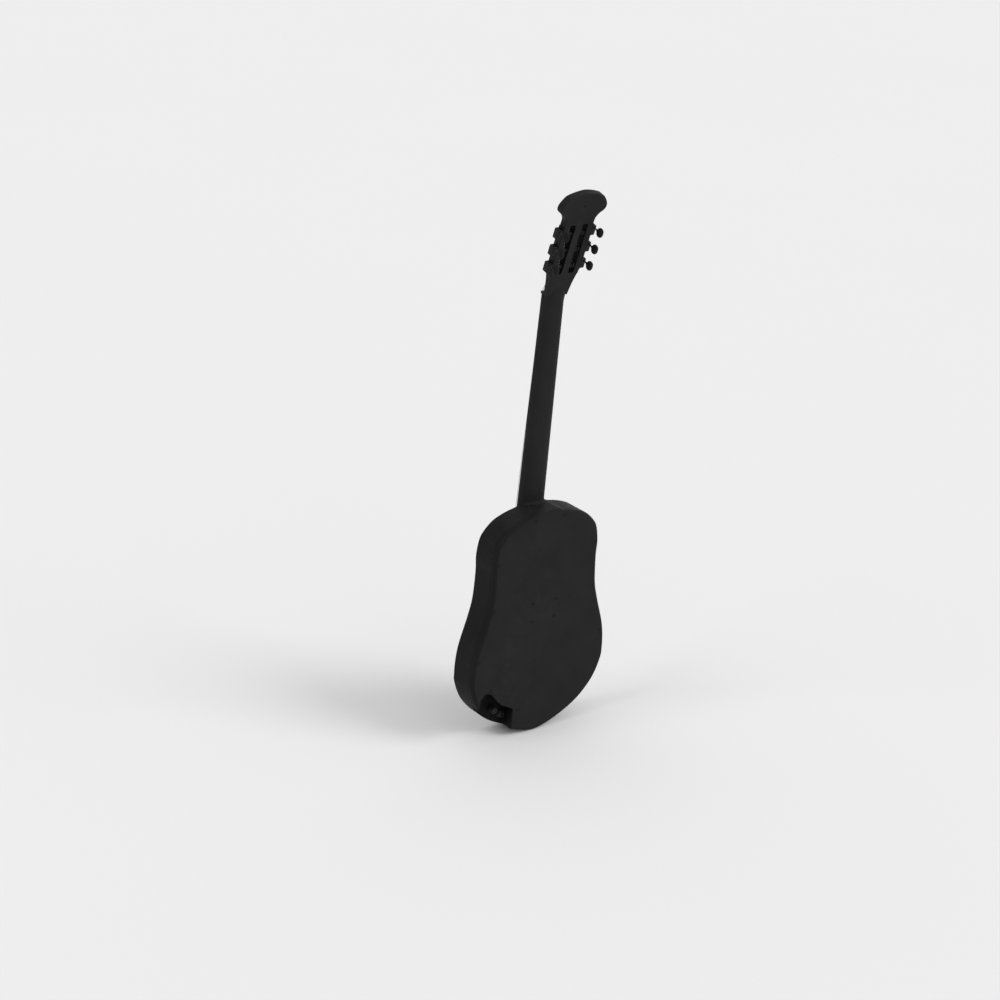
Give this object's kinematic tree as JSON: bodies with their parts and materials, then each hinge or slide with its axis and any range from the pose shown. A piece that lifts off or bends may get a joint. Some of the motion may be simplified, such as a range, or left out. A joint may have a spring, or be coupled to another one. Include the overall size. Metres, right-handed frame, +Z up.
{
  "type": "semi-acoustic guitar",
  "caption": "Slim hollow-bodied acoustic-electric guitar with screwed-on back cover, corner recess for socket and volume knob, and slotted head with geared tuners.",
  "frame": {"origin": "on the flat at the tail, half way through the body's depth", "axes": "+Z up the body from the tail to the head, +Y out of the back cover, +X towards the thin-string side"},
  "size_m": [0.323, 0.1251, 1.0912],
  "materials": {
    "body_rim": "satin black moulded shell",
    "soundboard": "satin black moulded shell",
    "back_cover": "satin black moulded cover",
    "jack_bowl": "dull black moulded lining",
    "output_jack": "blackened socket",
    "volume_pot": "steel can and bushing",
    "volume_knob": "satin black knob",
    "neck_block": "bare inner wood",
    "tail_block": "bare inner wood",
    "soundboard_brace": "bare inner wood",
    "bridge_plate": "bare inner wood",
    "preamp_tray": "black moulded tray",
    "battery_9v": "steel can, plain dark wrap",
    "neck": "satin black paint over wood",
    "truss_rod": "plain steel",
    "fretboard": "dark oiled wood with frets",
    "nut": "black nut",
    "saddle": "black saddle",
    "bridge": "dark oiled wood",
    "piezo_strip": "braided metal strip",
    "tuner_plate_bass": "satin black plate",
    "tuner_plate_treble": "satin black plate",
    "cover_screws": "blackened steel screws",
    "tray_screws": "blackened steel screws",
    "wound_strings": "metal wound string",
    "plain_strings": "smooth dark nylon",
    "rollers": "plain brass with a toothed gear",
    "worms": "dark steel",
    "buttons": "smooth black plastic"
  },
  "bodies": {
    "guitar": {"body_rim": "body_rim", "soundboard": "soundboard", "back_cover": "back_cover", "jack_bowl": "jack_bowl", "output_jack": "output_jack", "volume_pot": "volume_pot", "neck_block": "neck_block", "tail_block": "tail_block", "soundboard_brace": "soundboard_brace", "bridge_plate": "bridge_plate", "preamp_tray": "preamp_tray", "battery_9v": "battery_9v", "neck": "neck", "truss_rod": "truss_rod", "fretboard": "fretboard", "nut": "nut", "bridge": "bridge", "piezo_strip": "piezo_strip", "saddle": "saddle", "tuner_plate_bass": "tuner_plate_bass", "tuner_plate_treble": "tuner_plate_treble", "string_1": "wound_strings", "string_2": "wound_strings", "string_3": "wound_strings", "string_4": "plain_strings", "string_5": "plain_strings", "string_6": "plain_strings", "cover_screw_1": "cover_screws", "cover_screw_2": "cover_screws", "cover_screw_3": "cover_screws", "cover_screw_4": "cover_screws", "cover_screw_5": "cover_screws", "cover_screw_6": "cover_screws", "cover_screw_7": "cover_screws", "cover_screw_8": "cover_screws", "cover_screw_9": "cover_screws", "cover_screw_10": "cover_screws", "tray_screw_1": "tray_screws", "tray_screw_2": "tray_screws", "tray_screw_3": "tray_screws", "tray_screw_4": "tray_screws"},
    "knob": {"volume_knob": "volume_knob"},
    "roller_1": {"string_roller_1": "rollers"},
    "key_1": {"tuner_worm_1": "worms", "tuner_button_1": "buttons"},
    "roller_2": {"string_roller_2": "rollers"},
    "key_2": {"tuner_worm_2": "worms", "tuner_button_2": "buttons"},
    "roller_3": {"string_roller_3": "rollers"},
    "key_3": {"tuner_worm_3": "worms", "tuner_button_3": "buttons"},
    "roller_4": {"string_roller_4": "rollers"},
    "key_4": {"tuner_worm_4": "worms", "tuner_button_4": "buttons"},
    "roller_5": {"string_roller_5": "rollers"},
    "key_5": {"tuner_worm_5": "worms", "tuner_button_5": "buttons"},
    "roller_6": {"string_roller_6": "rollers"},
    "key_6": {"tuner_worm_6": "worms", "tuner_button_6": "buttons"}
  },
  "joints": [
    {"name": "volume_turn", "type": "hinge", "parent": "guitar", "child": "knob", "pos_m": [0.092, 0.003, 0.06], "axis": [0, 1, 0], "range_deg": [-150, 150]},
    {"name": "roller_turn_1", "type": "hinge", "parent": "guitar", "child": "roller_1", "pos_m": [0, 0.01349, 0.94168], "axis": [-1, 0, 0], "continuous": true},
    {"name": "key_turn_1", "type": "hinge", "parent": "guitar", "child": "key_1", "pos_m": [-0.0389, 0.02315, 0.94747], "axis": [0, 0.9511, -0.309], "continuous": true},
    {"name": "roller_turn_2", "type": "hinge", "parent": "guitar", "child": "roller_2", "pos_m": [0, 0.0243, 0.97496], "axis": [-1, 0, 0], "continuous": true},
    {"name": "key_turn_2", "type": "hinge", "parent": "guitar", "child": "key_2", "pos_m": [-0.0389, 0.03397, 0.98076], "axis": [0, 0.9511, -0.309], "continuous": true},
    {"name": "roller_turn_3", "type": "hinge", "parent": "guitar", "child": "roller_3", "pos_m": [0, 0.03512, 1.00825], "axis": [-1, 0, 0], "continuous": true},
    {"name": "key_turn_3", "type": "hinge", "parent": "guitar", "child": "key_3", "pos_m": [-0.0389, 0.04478, 1.01405], "axis": [0, 0.9511, -0.309], "continuous": true},
    {"name": "roller_turn_4", "type": "hinge", "parent": "guitar", "child": "roller_4", "pos_m": [0, 0.01349, 0.94168], "axis": [1, 0, 0], "continuous": true},
    {"name": "key_turn_4", "type": "hinge", "parent": "guitar", "child": "key_4", "pos_m": [0.0389, 0.02315, 0.94747], "axis": [0, 0.9511, -0.309], "continuous": true},
    {"name": "roller_turn_5", "type": "hinge", "parent": "guitar", "child": "roller_5", "pos_m": [0, 0.0243, 0.97496], "axis": [1, 0, 0], "continuous": true},
    {"name": "key_turn_5", "type": "hinge", "parent": "guitar", "child": "key_5", "pos_m": [0.0389, 0.03397, 0.98076], "axis": [0, 0.9511, -0.309], "continuous": true},
    {"name": "roller_turn_6", "type": "hinge", "parent": "guitar", "child": "roller_6", "pos_m": [0, 0.03512, 1.00825], "axis": [1, 0, 0], "continuous": true},
    {"name": "key_turn_6", "type": "hinge", "parent": "guitar", "child": "key_6", "pos_m": [0.0389, 0.04478, 1.01405], "axis": [0, 0.9511, -0.309], "continuous": true}
  ],
  "couplings": [
    {"joint": "roller_turn_1", "follows": "key_turn_1", "ratio": 0.071429},
    {"joint": "roller_turn_2", "follows": "key_turn_2", "ratio": 0.071429},
    {"joint": "roller_turn_3", "follows": "key_turn_3", "ratio": 0.071429},
    {"joint": "roller_turn_4", "follows": "key_turn_4", "ratio": 0.071429},
    {"joint": "roller_turn_5", "follows": "key_turn_5", "ratio": 0.071429},
    {"joint": "roller_turn_6", "follows": "key_turn_6", "ratio": 0.071429}
  ]
}
